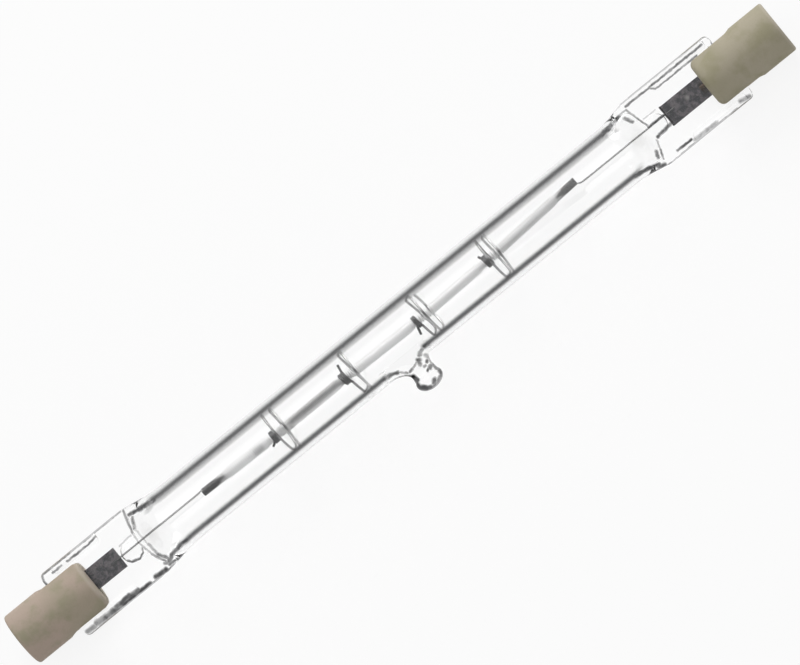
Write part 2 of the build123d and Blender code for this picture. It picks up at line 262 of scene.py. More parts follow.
tipShadeStrokes = [
    (-4.7, -3.14, 0.3, 0.75, -3.7, -3.2, 0.25, 0.8, -2.85, -3.52, 0.16, 0.5, -2, -4.3),
    (-4.3, -3.9, 0.13, 0.35, -3.1, -4.08, 0.16, 0.6, -2.5, -4.4, 0.22, 0.7, -2.1, -4.8, 0.28, 0.8,
     -1.95, -5.15), (-1.85, -5.15, 0.42, 1.35, -1.8, -5.45), (-1.65, -5.7, 0.3, 1.2, -2.05, -5.85),
    (-2.1, -6, 0.4, 1.5, -2.06, -6.5, 0.44, 1.5, -1.45, -7.15, 0.34, 1, -0.9, -7.42),
    (0, -6.97, 0.34, 0.9, -0.3, -7.3), (-0.9, -7.5, 0.28, 0.6, 0.3, -7.55),
    (0.3, -7.4, 0.32, 0.8, 0.95, -7.1), (1.12, -6.5, 0.3, 1, 1.12, -6.75),
    (-1.7, -4.36, 0.2, 0.65, -1.3, -4.3, 0.16, 0.45, -0.4, -4), (0, -3.85, 0.34, 0.85, 0.06, -3.9),
    (-0.15, -4.2, 0.26, 0.65, -0.18, -4.5), (0.5, -3.55, 0.28, 0.65, 0.8, -3.3, 0.24, 0.6, 1.7, -3.1),
    (0.6, -4.75, 0.22, 0.75, 0.74, -4.62), (0.05, -4.95, 0.22, 0.65, 0.2, -4.98),
    (0.05, -5.6, 0.2, 0.95, 0.15, -5.55), (0.5, -5.5, 0.3, 0.75, 0.65, -5.4),
    (1, -4, 0.32, 0.5, 1.05, -4.35), (1.05, -4.4, 0.2, 0.4, 1, -5.2),
    (0.95, -5.3, 0.16, 0.45, 1.2, -6.3),
]


def lampPlace(root):  # about the lamp's own axis, in millimetres
    return root.node("Mapping", {
        "Vector": root.node("TexCoord", out=3), "Rotation": (-restingRoll, 0, 0),
        "Scale": (1 / lamp["unit"],) * 3,
    })


def stroke(flat, x, y, halfWidth, dark, endX, endY):  # flat is the place with no height
    run = Vector((endX - x, endY - y, 0))
    offset = flat.vector("SUBTRACT", flat, (x, y, 0))
    along = flat.vector("DOT_PRODUCT", offset, tuple(run / run.length_squared), 1)
    along = flat.node("Clamp", {"Value": along})
    nearest = flat.node("VectorMath", {0: tuple(run), "Scale": along}, operation="SCALE")
    distance = flat.vector("LENGTH", flat.vector("SUBTRACT", offset, nearest), out=1)
    full, gone = glass["strokeFade"]
    return distance.step(halfWidth * full, halfWidth * gone, dark, 0.0)


def strokes(flat, chains):
    total = None
    for chain in chains:
        for n in range(0, len(chain) - 2, 4):
            drawn = stroke(flat, *chain[n:n + 6])
            total = drawn if total is None else flat.math("MAXIMUM", total, drawn)
    return total


def quartz(name, shade, straight):  # how dark the glass is, and how much light goes straight through
    material, root = newMaterial(name)
    place = lampPlace(root)
    dark = shade(root, place) if shade else None

    def toned(kind, colour, rest):  # clear, and dark as far as the shade says
        clear = root.node(kind, {colour: glass["clear"], **rest})
        if dark is None:
            return clear
        deep = root.node(kind, {colour: glass["dark"], **rest})
        return root.node("MixShader", {0: dark, 1: clear, 2: deep})

    rest = {"Roughness": 0.0, "IOR": glass["ior"], "Transmission Weight": 1.0}
    mixed = toned("BsdfPrincipled", "Base Color", rest)
    if straight:
        plain = toned("BsdfTransparent", "Color", {})
        mixed = root.node("MixShader", {0: straight(root, place), 1: mixed, 2: plain})
    passed = root.node("BsdfTransparent", {"Color": glass["shadow"]})
    surface(root, root.node("MixShader", {0: root.node("LightPath", out=1), 1: mixed, 2: passed}))
    return material


def band(facing, limits):
    low, lowFull, highFull, high = limits
    return facing.step(low, lowFull) * (1 - facing.step(highFull, high))


def curve(facing, stops):
    return facing.node("ValToRGB", {"Fac": facing}, stops=stops)


def linearDark(root, seen):  # only where light goes in
    most, taken, gamma, trim = glass["seen"]
    left = 1 - root.math("MINIMUM", seen, most) * (1 - root.node("NewGeometry", out=6)) * taken
    return (1 - left.math("POWER", left, gamma)) * trim


def acrossTube(root):  # how far it is turned away, from any side
    square = root.vector("MULTIPLY", root.node("NewGeometry", out=1), (0, 1, 1))
    square = square.vector("NORMALIZE", square)
    square = root.node("LayerWeight", {"Blend": 0.5, "Normal": square}, out=1)
    axis = root.node("CombineXYZ", {"X": 1.0})
    along = 1 - root.node("LayerWeight", {"Blend": 0.5, "Normal": axis}, out=1)
    across = root.math("SQRT", root.math("MAXIMUM", 1 - along * along, glass["leastAcross"]))
    return 1 - root.math("MINIMUM", root.math("DIVIDE", 1 - square, across), 1.0)


def flankDark(root, y):
    across = acrossTube(root)
    far = y.step(*glass["flankChange"])
    return curve(across, glass["nearFlank"]) * (1 - far) + curve(across, glass["farFlank"]) * far


def tubeShade(root, place):
    return linearDark(root, flankDark(root, place.parts()[1]))


def blotches(root, place):
    scale, low, high = glass["blotch"]
    return noise(root, scale, 3.0, vector=place).step(low, high)


def facingUp(root):
    rise = root.vector("DOT_PRODUCT", root.node("TexCoord", out=1), lampUp, 1)
    return rise, rise.step(*glass["upperSide"])


def layers(root, place, chains, flank, rim, up, blotch):  # the darkest of flank, rim and strokes
    wave = root.node("TexNoise", {"Vector": place, "Scale": glass["waverScale"], "Detail": 3.0}, 1)
    wave = root.vector("MULTIPLY", root.vector("SUBTRACT", wave, (0.5,) * 3), (glass["waver"],) * 3)
    drawn = strokes(root.vector("MULTIPLY", root.vector("ADD", place, wave), (1, 1, 0)), chains)
    least, more = glass["uneven"]
    drawn = drawn * up * (least + blotch * more)
    return linearDark(root, root.math("MAXIMUM", root.math("MAXIMUM", flank, rim), drawn))


def tipShade(root, place):
    x, y = place.parts()[:2]
    facing = root.node("LayerWeight", {"Blend": 0.5}, out=1)
    blotch = blotches(root, place)
    flank = flankDark(root, y) * (1 - band(x, glass["rootAlong"]))
    least, more = glass["rimUneven"]
    rim = facing.step(*glass["tipRim"]) * (1 - y.step(*glass["bulbTop"])) * (least + blotch * more)
    return layers(root, place, tipShadeStrokes, flank, rim, facingUp(root)[1], blotch)


def endShade(side, chains):  # on a shoulder and its plate
    def shade(root, place):
        x, y = place.parts()[:2]
        out = root.math("ABSOLUTE", x)
        wide = root.math("ABSOLUTE", y)
        facing = root.node("LayerWeight", {"Blend": 0.5}, out=1)
        rise, up = facingUp(root)

        def along(limits):
            return out.step(*(lamp["shoulderEnds"][side] + limit for limit in limits))

        corner = along(glass["cornerFrom"]) * up * wide.step(*glass["flankWide"])
        flank = flankDark(root, y) * (1 - corner) * (1 - along(glass["flankGone"]))
        rim = band(facing, glass["plateEdge"]) * along(glass["edgeFrom"])
        rim = rim * glass["edgeShare"] * wide.step(*glass["edgeWide"])
        up = up * (1 - along(glass["plateFrom"]) * (1 - rise.step(*glass["plateSide"])))
        return layers(root, place, chains, flank, rim, up, blotches(root, place))
    return shade


def tipStraight(root, place):
    x, y = place.parts()[:2]
    low, lowFull, highFull, high = glass["straightAlong"]
    leaving = root.node("NewGeometry", out=6) * x.step(*glass["leavingAlong"])
    leaving = leaving * (1 - y.step(*glass["leavingAcross"]))
    along = root.math("MAXIMUM", x.step(low, lowFull), leaving) * (1 - x.step(highFull, high))
    return along * band(y, glass["straightAcross"])


quartzParts = [  # in the order of the glass's material slots
    quartz("quartzTube", tubeShade, None), quartz("quartzInside", None, tipStraight),
    quartz("quartzLeft", endShade(-1, leftShadeStrokes), None),
    quartz("quartzRight", endShade(1, rightShadeStrokes), None),
    quartz("quartzTip", tipShade, tipStraight),
]
print("quartz mixed")


def plainMetal(name, colour, roughness, grain):
    material, root = newMaterial(name)
    speckle = noise(root, grain, 5.0)
    if colour is None:  # the wire carries its tone per point, painted shade and light included
        tone = root.node("Attribute", out=2, attribute_name="tone")
        tone = tone.math("POWER", tone, 2.2) * (speckle * 0.5 + 0.75)
    else:
        tone = speckle.step(0.3, 0.7).blend(tuple(c * 0.75 for c in colour[:3]) + (1,), colour)
    surface(root, root.node("BsdfPrincipled", {
        "Base Color": tone, "Metallic": 1.0, "Roughness": speckle * 0.25 + (roughness - 0.12),
        "Normal": bump(root, speckle, 0.25, 0.00002),
    }))
    return material


tungsten = plainMetal("tungstenWire", None, 0.42, 4000)
darkTungsten = plainMetal("darkTungsten", rgb(78, 78, 80), 0.5, 4000)
nickel = plainMetal("nickelContact", rgb(196, 193, 184), 0.3, 2500)
leadMetal = plainMetal("oxidisedLead", rgb(74, 62, 52), 0.5, 3000)


# Quartz envelope
tube = {
    "around": 104,  # points round every ring
    "ribTop": 0.35,
    "ribStarts": {-1: 43.7, 1: 42.5},
    "ribEnd": 50.6,
    "ribRamp": 0.6,
    "edgeRound": 0.6,
    "ribInside": (4.1, 0.8, 3.3),  # where it falls from, over what width, the web's edge
    "shoulderSag": 1.1,  # how far the shoulder falls back at the sides
    "shoulderLength": 3.9,
    "widthStart": 34.2,
    "cornerRadius": 0.7,
    "endRound": 0.3,
    "boreSag": 0.95,
    "boreOval": 0.35,  # how far its round section turns flat
    "boreHalfWidth": 3.5,
    "pocketHalfWidth": 1.4,
    "pocketHalfHeight": 0.29,
    "pocketGap": 0.15,
}


def easeStep(value, low, high):
    share = min(1.0, max(0.0, (value - low) / (high - low)))
    return share * share * (3 - 2 * share)


def chord(radius, offset):  # half as long as the chord is
    return sqrt(max(0.0, radius ** 2 - offset ** 2))


def platePoints():  # a quarter of its section, edge to middle
    rounding = tube["edgeRound"]
    points = []
    for number in range(10):
        angle = pi / 2 * number / 9
        reach = lamp["plateHalfWidth"] - rounding + rounding * cos(angle) ** 0.8
        points.append((reach, sin(angle) ** 0.8, 1.0))
    inner, fall, web = tube["ribInside"]
    for share in (0, 0.2, 0.4, 0.6, 0.8, 1):  # down from the rib to the flat web
        points.append((inner - fall * share, 1.0, 1 - easeStep(share, 0, 1)))
    left = tube["around"] // 4 - len(points) + 1
    for number in range(1, left + 1):
        points.append((web * (1 - number / left), 1.0, 0.0))
    return points


plateQuarter = platePoints()


def plateOutline(u, side):  # the plate's whole section at u
    end = lamp["plateEnds"][side]
    start = tube["ribStarts"][side]
    lift = tube["ribTop"] * easeStep(u, start, start + tube["ribRamp"])
    lift *= 1 - easeStep(u, tube["ribEnd"] - tube["ribRamp"], tube["ribEnd"])
    radius, endRound = tube["cornerRadius"], tube["endRound"]
    narrow = radius - chord(radius, max(0.0, u - (end - radius)))
    high = lamp["webHalfThickness"]
    thin = endRound - chord(endRound, max(0.0, u - (end - endRound)))
    wide = (lamp["plateHalfWidth"] - narrow) / lamp["plateHalfWidth"]
    return fullRing([(y * wide, rise * (high + lift * rib - thin)) for y, rise, rib in plateQuarter])


def fullRing(quarter):  # all round, from a quarter
    upper = quarter + [(-y, z) for y, z in reversed(quarter[:-1])]
    return upper + [(y, -z) for y, z in reversed(upper[1:-1])]


def circleOutline(radius, wide=1.0):
    count = tube["around"]
    turns = [tau * k / count for k in range(count)]
    return [(radius * wide * cos(turn), radius * sin(turn)) for turn in turns]


def closing(u, end):  # 1 on the round tube, 0 past the shoulder
    length = tube["shoulderLength"]
    share = min(1.0, max(0.0, (u - end + length) / length))
    return (1 + cos(pi * share)) / 2


def outerRing(u, side):
    radius, plateHalf = lamp["tubeRadius"], lamp["plateHalfWidth"]
    shoulder = lamp["shoulderEnds"][side]
    start = tube["widthStart"]
    share = min(1.0, max(0.0, (u - start) / (shoulder - 0.7 - start)))
    half = radius + (plateHalf - radius) * share ** 1.5
    ring = []
    for (plateY, plateZ), (tubeY, tubeZ) in zip(plateOutline(u, side), circleOutline(radius, half / radius)):
        lineEnd = shoulder - tube["shoulderSag"] * (plateY / plateHalf) ** 2
        shift = easeStep(u, lineEnd - 1.8, lineEnd)  # sideways, the points move over late
        ring.append((tubeY + (plateY * half / plateHalf - tubeY) * shift,
                     plateZ + (tubeZ - plateZ) * closing(u, lineEnd)))
    return ring


def innerRing(u, side):
    base = lamp["roundEnd"]
    end = lamp["boreEnds"][side]
    bore, least = lamp["boreRadius"], tube["pocketHalfHeight"]
    pocket = tube["pocketHalfWidth"]
    wide = bore + (tube["boreHalfWidth"] - bore) * easeStep(u, base + 0.5, end - 0.8)
    narrowing = min(1.0, max(0.0, (u - (end - tube["boreSag"])) / tube["boreSag"]))
    if narrowing > 0:
        wide = pocket + (wide - pocket) * sqrt(max(0.0, 1 - narrowing ** 1.2))
    past = max(0.0, u - (lamp["foilStarts"][side] - tube["pocketGap"] - pocket))
    flat = 1.0
    if past > 0:
        wide = max(0.02, chord(pocket, past))
        flat = max(0.05, sqrt(max(0.0, 1 - (past / pocket) ** 4)))
    count = tube["around"]
    bend = 1 - tube["boreOval"] * easeStep(u, base + 1, end)
    ring = []
    for k in range(count):
        c, s = cos(tau * k / count), sin(tau * k / count)
        high = least + (bore - least) * closing(u, end - tube["shoulderSag"] * 0.6 * c * c)
        ring.append((wide * c, high * flat * copysign(abs(s) ** bend, s)))
    return ring


def places(start, stretches):  # ring places, from stretches of (how many, up to where)
    result = []
    for count, end in stretches:
        result += [start + (end - start) * number / count for number in range(count)]
        start = end
    return result + [start]


tip = {
    "patchRings": (-4.4, 3.3),  # the stretch that the root takes up
    "patchHalf": 12,  # points of a ring on either side of the tip's line
    "ringGap": 0.25,
    "flareLeft": 3.9,  # radii at which the root leaves the tube
    "flareRight": 2.1,
    "flareSide": 2.0,
    "neck": 1.56,
    "neckHeight": 5.25,
    "bulb": (1.83, 1.23, 1.55),  # half sizes along the tube, outwards and across
    "bulbCentre": 6.5,
    "funnelDepth": 4.75,
    "funnelNeck": 0.35,
    "funnelShare": 0.74,  # of the root's radius
    "funnelCurve": 1.2,
}


def tubePlaces():
    low, high = tip["patchRings"]
    middle = lamp["tipPlace"]
    left = places(-lamp["roundEnd"], [(40, middle + low)])[:-1]
    count = round((high - low) / tip["ringGap"])
    patch = [middle + low + (high - low) * number / count for number in range(count + 1)]
    right = places(middle + high, [(40, lamp["roundEnd"])])[1:]
    return left, patch, right


def addRing(mesh, x, outline):
    return [mesh.verts.new((x, y, z)) for y, z in outline]


def joinRings(mesh, first, second, skip=(), slot=0):
    count = len(first)
    for k in range(count):
        after = (k + 1) % count
        if k not in skip:
            mesh.faces.new((first[k], second[k], second[after], first[after])).material_index = slot


def flareRadius(angle):  # angle from +X, towards +Z
    along = tip["flareRight"] if cos(angle) > 0 else tip["flareLeft"]
    side = tip["flareSide"]
    return 1 / sqrt((cos(angle) / along) ** 2 + (sin(angle) / side) ** 2)


def tipRings(mesh, loop, shell, profile, slot):  # from the hole's edge to the tip's end
    centre = lamp["tipPlace"]
    angles = [atan2(v.co.z, v.co.x - centre) for v in loop]
    rims = [hypot(v.co.z, v.co.x - centre) for v in loop]
    for ring in profile(shell, angles, rims):
        verts = [mesh.verts.new((centre + x, y, z)) for x, y, z in ring]
        joinRings(mesh, loop, verts, slot=slot)
        loop = verts
    mesh.faces.new(loop[::-1]).material_index = slot


def rootRings(shell, angles, rims, shares, scale):  # from the hole's edge in to the root
    rings = []
    for share in shares:
        ring = []
        for angle, rim in zip(angles, rims):
            reach = rim + (flareRadius(angle) * scale - rim) * share
            z = reach * sin(angle)
            ring.append((reach * cos(angle), -chord(shell, z), z))
        rings.append(ring)
    return rings


def flareRings(shell, angles, count, neck, scale, power, top, lastFlat):  # up from the root to the neck
    rings = []
    for number in range(1, count + 1):
        turn = pi / 2 * number / count
        flat = 1 - (1 - lastFlat) * number / count
        ring = []
        for angle in angles:
            reach = neck + (flareRadius(angle) * scale - neck) * (1 - sin(turn)) ** power
            z = reach * sin(angle) * flat
            depth = chord(shell, z)
            lift = (1 - cos(turn)) * (top - depth)
            ring.append((reach * cos(angle), -(depth + lift), z))
        rings.append(ring)
    return rings


def outerTipProfile(shell, angles, rims):
    neck = tip["neck"]
    bulbX, bulbOut, bulbZ = tip["bulb"]
    rings = rootRings(shell, angles, rims, (0.35, 0.7, 1.0), 1)
    rings += flareRings(shell, angles, 20, neck, 1, 1, tip["neckHeight"], bulbZ / bulbX)
    start = asin(neck / bulbX)
    for number in range(1, 25):  # the bulb, from the neck over to its crown
        turn = start + (pi - start) * number / 25
        height = tip["bulbCentre"] - bulbOut * cos(turn)
        wide, deep = bulbX * sin(turn), bulbZ * sin(turn)
        rings.append([(wide * cos(a), -height, deep * sin(a)) for a in angles])
    return rings


def innerTipProfile(shell, angles, rims):
    scale, depth = tip["funnelShare"], tip["funnelDepth"]
    rings = rootRings(shell, angles, rims, (0.5, 1.0), scale)
    rings += flareRings(shell, angles, 12, tip["funnelNeck"], scale, tip["funnelCurve"], depth, 1)
    for reach, further in ((0.22, 0.12), (0.08, 0.16)):
        rings.append([(reach * cos(a), -(depth + further), reach * sin(a)) for a in angles])
    return rings


def makeShell(mesh, radius, endRing, endPlaces, profile, slot):
    half = tube["around"] // 2  # the point of a ring that faces the tip
    low, high = half - tip["patchHalf"], half + tip["patchHalf"]
    left, patch, right = tubePlaces()
    rings = [addRing(mesh, x, circleOutline(radius)) for x in left + patch + right]
    first, last = len(left), len(left) + len(patch) - 1
    for number in range(len(rings) - 1):
        skip = range(low, high) if first <= number < last else ()
        joinRings(mesh, rings[number], rings[number + 1], skip, slot)
    for side in (-1, 1):
        previous = rings[0 if side < 0 else -1]
        for u in endPlaces[side]:
            ring = addRing(mesh, side * u, endRing(u, side))
            joinRings(mesh, *(previous, ring)[::side], slot=slot)
            previous = ring
        mesh.faces.new(previous[::side]).material_index = slot
    loop = [ring[low] for ring in rings[first:last]] + rings[last][low:high]
    loop += [ring[high] for ring in rings[last:first:-1]] + rings[first][high:low:-1]
    tipRings(mesh, loop, radius, profile, slot)
    bmesh.ops.delete(mesh, geom=[v for v in mesh.verts if not v.link_faces], context="VERTS")


def makeEnvelope():
    outside = {}
    inside = {}
    for side in (-1, 1):
        start = lamp["roundEnd"]
        end = lamp["plateEnds"][side]
        shoulder = lamp["shoulderEnds"][side]
        rib, ribEnd = tube["ribStarts"][side], tube["ribEnd"]
        bore = lamp["boreEnds"][side]
        pocketEnd = lamp["foilStarts"][side] - tube["pocketGap"]
        outside[side] = places(start, [
            (5, shoulder - 4.9), (26, shoulder - 1.9), (34, shoulder + 0.05), (6, rib - 0.1), (9, rib + 0.7),
            (12, ribEnd - 0.7), (9, ribEnd + 0.1), (3, end - 0.7), (12, end - 0.02),
        ])[1:]
        inside[side] = places(start, [
            (4, bore - 4.5), (28, bore - 1.2), (22, bore), (4, pocketEnd - 1.4), (14, pocketEnd - 0.01),
        ])[1:]
    mesh = bmesh.new()
    makeShell(mesh, lamp["tubeRadius"], outerRing, outside, outerTipProfile, 0)
    outerFaces = list(mesh.faces)
    bmesh.ops.recalc_face_normals(mesh, faces=outerFaces)
    tipStart, tipEnd, tipTop = glass["tipGlass"]
    for face in outerFaces:
        place = face.calc_center_median()
        if abs(place.x) > lamp["roundEnd"]:
            face.material_index = 2 if place.x < 0 else 3
        elif tipStart < place.x < tipEnd and place.y < tipTop:
            face.material_index = 4
    makeShell(mesh, lamp["boreRadius"], innerRing, inside, innerTipProfile, 1)
    known = set(outerFaces)
    innerFaces = [f for f in mesh.faces if f not in known]
    bmesh.ops.recalc_face_normals(mesh, faces=innerFaces)
    bmesh.ops.reverse_faces(mesh, faces=innerFaces)
    data = bpy.data.meshes.new("glass")
    mesh.to_mesh(data)
    mesh.free()
    piece = newPiece(data)
    settle(piece, "quartzGlass", "quartz_envelope", quartzParts, 50)


makeEnvelope()
print("quartz envelope blown")


# Wires are curves with a round section, made meshes; each vertex takes the tone of the nearest point
def wire(rows, diameter, corners):  # rows of place, thickness share, tone
    line = bpy.data.curves.new("wire", "CURVE")
    line.dimensions = "3D"
    line.bevel_depth = diameter / 2
    line.bevel_resolution = corners
    line.use_fill_caps = True
    spline = line.splines.new("POLY")
    spline.points.add(len(rows) - 1)
    nearest = KDTree(len(rows))
    for number, (point, (place, share, tone)) in enumerate(zip(spline.points, rows)):
        point.co = (*place, 1)
        point.radius = share
        nearest.insert(place, number)
    nearest.balance()
    pick(newPiece(line))
    bpy.ops.object.convert(target="MESH")
    piece = bpy.context.object
    tones = piece.data.attributes.new("tone", "FLOAT", "POINT")
    for vertex, value in zip(piece.data.vertices, tones.data):
        value.value = rows[nearest.find(vertex.co)[1]][2]
    return piece


coil = {
    "wire": 0.13,
    "outside": 1.06,  # of the close-wound ends and in the grips
    "slack": 0.27,  # by which the coil is wider between them
    "left": -30.4,
    "right": 28.05,
    "closeLength": {-1: 3.35, 1: 3.05},
    "closePitch": 0.145,
    "openPitch": 0.27,
    "densePitch": 0.17,
    "holds": (-19.6, -8.3, 2.7, 13.7),  # where the supports grip it
    "offsets": (0.05, -0.13, -0.05, -0.2, 0.13, 0.95),
    "legHeight": 0.3,
    "legLift": 0.12,
    "legShare": 1.8,
    "legTone": 0.52,
    "weldTone": 0.34,
    "legWeld": 1.4,
    "stepsPerTurn": 14,
    "tones": [  # along the coil: place, tone; darker and lighter stretches paint the coil's shading
        (-30.4, 0.62), (-27.4, 0.64), (-25.0, 0.72), (-21.0, 0.72), (-17.4, 0.74), (-16.6, 0.46),
        (-14.5, 0.41), (-11.5, 0.42), (-9.2, 0.46), (-8.6, 0.62), (-6.0, 0.82), (13.0, 0.82), (15.5, 0.74),
        (18.0, 0.72), (28.1, 0.7),
    ],
    "across": {  # painted shade and light: how much lighter, up to the tip's side
        "left": [(-1, 0.1), (-0.3, -0.06), (0.25, -0.06), (0.5, 0.1), (0.85, 0.1), (1, -0.15)],
        "run": [(-1, 0.25), (-0.5, 0.1), (-0.3, -0.2), (0.2, -0.2), (0.45, 0.45), (1, 0.5)],
        "right": [(-1, 0), (0.65, 0), (1, -0.16)],
    },
    "paintedShadeRun": (-17.2, -16.4, -9.4, -8.8),  # painted shade: here the coil is darkest along its middle
    "spot": (-21.9, 0.25, 1.0),  # painted shade also at this place: fully, and out to
    "spotDepth": 0.6,
    "blocks": ((-28.6, -27.0), (26.5, 25.0)),  # dark ends: full to, pointed at
    "blockTone": 0.25,
}
coilHolds = [coil["left"], *coil["holds"], coil["right"]]
openStart = coil["left"] + coil["closeLength"][-1]
openEnd = coil["right"] - coil["closeLength"][1]


def between(rows, x):  # straight lines through rows of (x, value)
    for (x0, y0), (x1, y1) in zip(rows, rows[1:]):
        if x <= x1:
            return y0 + (y1 - y0) * max(0.0, x - x0) / (x1 - x0)
    return rows[-1][1]


def coilMiddle(x):
    return between(list(zip(coilHolds, coil["offsets"])), x)


def coilPitch(x):
    if not openStart <= x <= openEnd:
        return coil["closePitch"]
    if coilHolds[1] < x < coilHolds[2]:
        return coil["densePitch"]
    return coil["openPitch"]


def coilRadius(x):
    wide = easeStep(min(abs(x - hold) for hold in coil["holds"]), 0.7, 1.3)
    wide *= easeStep(min(x - openStart, openEnd - x), 0.0, 0.5)
    return (coil["outside"] + coil["slack"] * wide - coil["wire"]) / 2


def coilTone(x, side):  # side is 1 on the edge nearest the tip; the tone holds painted shade and light
    across = coil["across"]
    low, lowFull, highFull, high = coil["paintedShadeRun"]
    run = easeStep(x, low, lowFull) * (1 - easeStep(x, highFull, high))
    beyond = easeStep(x, highFull, high)
    tone = between(coil["tones"], x) + run * between(across["run"], side)
    tone += (1 - run - beyond) * between(across["left"], side) + beyond * between(across["right"], side)
    spot, full, out = coil["spot"]
    core = 1 - easeStep(abs(side), 0.4, 0.8)
    tone -= coil["spotDepth"] * core * (1 - easeStep(abs(x - spot), full, out))
    for full, point in coil["blocks"]:
        share = (x - full) / (point - full)  # 0 where it stops being whole, 1 at its point
        if share < 0:
            tone = coil["blockTone"]
        elif share < 1:
            tone += (coil["blockTone"] - tone) * (1 - easeStep(abs(side), 0.85 - share, 1.15 - share))
    return min(1.0, max(0.18, tone))


def coilRow(x, angle):
    radius = coilRadius(x)
    place = (x, coilMiddle(x) + radius * cos(angle), radius * sin(angle))
    return place, 1.0, coilTone(x, -cos(angle))


def makeFilament():
    start, end = coil["left"], coil["right"]
    x = start
    angle = pi / 4
    rows = []
    while x < end or abs(cos(angle) + 1) > 0.05:
        rows.append(coilRow(x, angle))
        x += coilPitch(x) / coil["stepsPerTurn"]
        angle += tau / coil["stepsPerTurn"]
    y, z = coil["legHeight"], coil["legLift"]
    weld = coil["legWeld"]
    legs = [
        [(-lamp["foilStarts"][-1] - weld, y, z), (start - 1.2, y, z), (start - 0.4, y + 0.02, z + 0.05)],
        [(end + 0.5, y + 0.05, z), (end + 1.3, y, z), (lamp["foilStarts"][1] + weld, y, z)],
    ]
    legs = [[(place, coil["legShare"], coil["legTone"]) for place in leg] for leg in legs]
    for leg, foot in ((legs[0], 0), (legs[1], -1)):  # darker where it is welded to the foil
        (x, y, z), share, tone = leg[foot]
        foil = copysign(lamp["foilStarts"][-1 if x < 0 else 1], x)
        leg[foot] = ((x, y, z), share, coil["weldTone"])
        leg.insert(1 if foot == 0 else -1, ((foil + copysign(0.1, x), y, z), share, coil["weldTone"]))
        leg.insert(2 if foot == 0 else -2, ((foil - copysign(0.1, x), y, z), share, tone))
    piece = wire(legs[0] + rows + legs[1], coil["wire"], 1)
    settle(piece, "filamentWire", "filament", [tungsten])


makeFilament()
print("filament wound")

# Each support is one wire: a free tail, turns that grip the coil, an arm, and a ring sprung on the bore.
# Turns are counted from the side away from the tip, first towards the camera; rows are (turns, x).
support = {
    "wire": 0.31,
    "wallGap": 0.04,
    "gripGap": 0.03,
    "steps": 28,
    # The wire's tones are painted shade and light: dark in the grip and where it passes the coil, paler
    # along the ring.
    "gripTone": 0.24,
    "armTone": 0.5,
    "ringTones": (0.56, 0.76),  # at the start and the end of the ring
    "crossTone": 0.3,  # painted shade where it passes the coil
    "tailHeight": 0.35,
    "armBow": 0.25,
}
supportRows = [  # the tail's x, y; the grip's first turn, its x at each half turn; the ring's rows
    ((-20.2, -0.95), 0.5, (-20.02, -19.66, -19.62, -19.5, -19.38, -19.4, -19.12, -19.1), (
        (0.0, -19.0), (0.25, -18.8), (0.45, -18.45), (0.55, -18.12), (0.75, -18.05), (0.95, -18.02),
        (1.05, -17.65), (1.25, -17.38), (1.46, -17.6),
    )),
    ((-8.04, 1.75), 0.0, (-8.25, -8.0, -8.78, -8.5, -8.5, -8.2, -8.2, -7.92), (
        (0.5, -7.5), (0.57, -6.8), (0.66, -6.95), (0.75, -7.2), (0.95, -7.36), (1.05, -6.76), (1.25, -6.6),
        (1.47, -6.44),
    )),
    ((2.15, -1.7), 0.5, (2.32, 2.42, 2.62, 2.6, 2.84, 2.7, 2.96), (
        (0.5, 3.3), (0.56, 3.72), (0.63, 3.86), (0.75, 3.55), (0.95, 3.2), (1.05, 3.88), (1.25, 4.18),
        (1.42, 4.4), (1.5, 4.65), (1.58, 4.88), (1.75, 4.65), (1.95, 4.4),
    )),
    ((13.36, 1.15), 0.0, (13.5, 13.72, 13.72, 13.94, 13.94, 14.14, 14.1, 14.3, 14.3), (
        (0.0, 14.25), (0.25, 14.33), (0.45, 14.62), (0.55, 15.2), (0.75, 15.1), (0.95, 15.04), (1.05, 15.5),
        (1.25, 15.83), (1.46, 15.62),
    )),
]


def eased(rows, turn):  # a smooth line through rows of (turns, x)
    for number, ((t0, x0), (t1, x1)) in enumerate(zip(rows, rows[1:])):
        if turn <= t1 or number == len(rows) - 2:
            before = rows[max(0, number - 1)]
            after = rows[min(len(rows) - 1, number + 2)]
            slope0 = (x1 - before[1]) / (t1 - before[0])
            slope1 = (after[1] - x0) / (after[0] - t0)
            s, gap = (turn - t0) / (t1 - t0), t1 - t0
            return ((2 * s ** 3 - 3 * s ** 2 + 1) * x0 + (s ** 3 - 2 * s ** 2 + s) * gap * slope0
                    + (3 * s ** 2 - 2 * s ** 3) * x1 + (s ** 3 - s ** 2) * gap * slope1)


def turns(rows, radius, tones, onCoil):
    first, last = rows[0][0], rows[-1][0]
    steps = round((last - first) * support["steps"])
    made = []
    for step in range(steps + 1):
        turn = first + (last - first) * step / steps
        x = eased(rows, turn)
        middle = coilMiddle(x) if onCoil else 0.0
        angle = tau * turn
        tone = tones[0] + (tones[1] - tones[0]) * step / steps
        if not onCoil:
            tone += (support["crossTone"] - tone) * (1 - easeStep(abs(cos(angle)), 0.1, 0.26))
        made.append(((x, middle + radius * cos(angle), radius * sin(angle)), 1.0, tone))
    return made


def makeSupport(number, tailPlace, firstTurn, gripPlaces, ringRows):
    ringRadius = lamp["boreRadius"] - support["wallGap"] - support["wire"] / 2
    gripRadius = coil["outside"] / 2 + support["gripGap"] + support["wire"] / 2
    gripRows = [(firstTurn + half / 2, x) for half, x in enumerate(gripPlaces)]
    grip = turns(gripRows, gripRadius, (support["gripTone"],) * 2, True)
    ring = turns(ringRows, ringRadius, support["ringTones"], False)
    tail = [((*tailPlace, support["tailHeight"]), 1.0, support["gripTone"])]
    low, high = Vector(grip[-1][0]), Vector(ring[0][0])
    arm = []
    for step in range(1, 6):
        share = step / 6
        bow = Vector((0, 0, support["armBow"] * sin(pi * share)))
        arm.append((tuple(low.lerp(high, share) + bow), 1.0, support["armTone"]))
    piece = wire(tail + grip + arm + ring, support["wire"], 2)
    settle(piece, f"coilSupport{number}", f"coil_support_{number}", [tungsten])


for number, row in enumerate(supportRows, start=1):
    makeSupport(number, *row)
print("supports bent")


